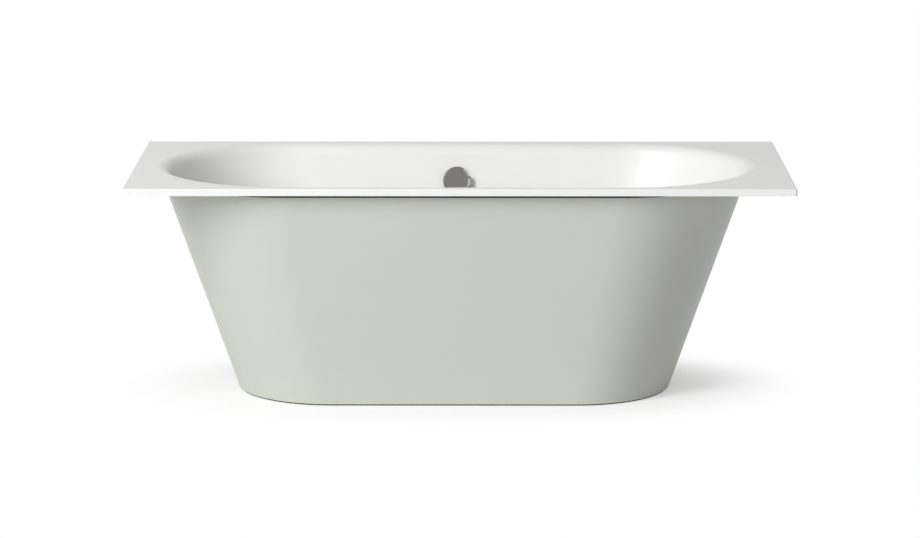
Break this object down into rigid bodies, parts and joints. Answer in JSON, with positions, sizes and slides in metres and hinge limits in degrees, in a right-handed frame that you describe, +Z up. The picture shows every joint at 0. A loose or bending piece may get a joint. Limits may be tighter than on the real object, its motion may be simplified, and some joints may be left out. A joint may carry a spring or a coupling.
{
  "type": "bathtub",
  "caption": "Back-to-wall bath: flat rectangular rim, oval well, tapered oval skirt with a rear doorway, leg frame, trap, and a turning overflow knob that lifts the plug.",
  "frame": {"origin": "on the floor under the middle of the rectangular rim", "axes": "+X along the bath (to the right seen from the front), +Y to the wall behind, +Z up"},
  "size_m": [1.7, 0.75, 0.59],
  "materials": {
    "enamel": "glossy white vitreous enamel",
    "sage_coat": "satin sage-grey coating on a moulded panel",
    "dark_rubber": "matt black rubber",
    "grey_rubber": "matt grey rubber",
    "zinc": "zinc-plated steel",
    "chrome": "polished chrome plate",
    "brass": "turned brass",
    "white_pipe": "white moulded plastic",
    "black_plastic": "black moulded plastic",
    "cable_jacket": "black extruded jacket",
    "bitumen": "black bitumen damping sheet"
  },
  "bodies": {
    "bath": {"bath_shell": "enamel", "skirt": "sage_coat", "skirt_foot_seal": "dark_rubber", "skirt_top_trim": "dark_rubber", "skirt_fixing_blocks": "black_plastic", "skirt_brackets": "zinc", "bracket_bolts": "zinc", "bracket_nuts": "zinc", "block_screws": "zinc", "left_crossbar": "zinc", "right_crossbar": "zinc", "bar_pads": "grey_rubber", "weld_nuts": "zinc", "lock_nuts": "zinc", "sound_mats": "bitumen", "earth_tab": "zinc", "earth_bolt": "brass", "earth_nut": "brass", "overflow_body": "white_pipe", "overflow_seal": "grey_rubber", "overflow_face_seal": "dark_rubber", "overflow_plate": "white_pipe", "overflow_screws": "zinc", "overflow_pipe": "white_pipe", "pipe_nuts": "white_pipe", "pipe_seals": "grey_rubber", "waste_body": "white_pipe", "waste_lower_seal": "grey_rubber", "waste_upper_seal": "grey_rubber", "waste_flange": "chrome", "plug_guide": "black_plastic", "trap_nuts": "white_pipe", "trap_seals": "grey_rubber", "trap_bend": "white_pipe", "trap_outlet": "white_pipe", "control_cable": "cable_jacket", "cable_ferrules": "brass", "cable_clips": "black_plastic"},
    "knob": {"overflow_knob": "chrome", "knob_spindle": "brass", "cable_drum": "black_plastic"},
    "plug": {"plug_cap": "chrome", "plug_seal": "dark_rubber", "plug_stem": "brass"},
    "lever": {"lift_lever": "black_plastic", "lever_shaft": "brass", "cable_crank": "brass"},
    "cable_pull_end": {"cable_end": "brass"},
    "front_left_leg": {"front_left_stud": "zinc", "front_left_foot": "black_plastic"},
    "front_right_leg": {"front_right_stud": "zinc", "front_right_foot": "black_plastic"},
    "rear_left_leg": {"rear_left_stud": "zinc", "rear_left_foot": "black_plastic"},
    "rear_right_leg": {"rear_right_stud": "zinc", "rear_right_foot": "black_plastic"}
  },
  "joints": [
    {"name": "knob_turn", "type": "hinge", "parent": "bath", "child": "knob", "pos_m": [-0.009, 0.30175, 0.493], "axis": [0, -0.9701, 0.2425], "range_deg": [0, 100]},
    {"name": "plug_lift", "type": "slide", "parent": "bath", "child": "plug", "axis": [0, 0, 1], "range_m": [0, 0.012]},
    {"name": "lever_turn", "type": "hinge", "parent": "bath", "child": "lever", "pos_m": [-0.009, 0.08, 0.112], "axis": [-1, 0, 0], "range_deg": [0, 34.91]},
    {"name": "cable_pull", "type": "slide", "parent": "bath", "child": "cable_pull_end", "axis": [0, 1, 0], "range_m": [0, 0.01572]},
    {"name": "front_left_height", "type": "slide", "parent": "bath", "child": "front_left_leg", "axis": [0, 0, -1], "range_m": [-0.012, 0.015]},
    {"name": "front_right_height", "type": "slide", "parent": "bath", "child": "front_right_leg", "axis": [0, 0, -1], "range_m": [-0.012, 0.015]},
    {"name": "rear_left_height", "type": "slide", "parent": "bath", "child": "rear_left_leg", "axis": [0, 0, -1], "range_m": [-0.012, 0.015]},
    {"name": "rear_right_height", "type": "slide", "parent": "bath", "child": "rear_right_leg", "axis": [0, 0, -1], "range_m": [-0.012, 0.015]}
  ],
  "couplings": [
    {"joint": "plug_lift", "follows": "knob_turn", "m_per_rad": 0.006874},
    {"joint": "lever_turn", "follows": "knob_turn", "ratio": 0.349},
    {"joint": "cable_pull", "follows": "knob_turn", "m_per_rad": 0.009}
  ]
}
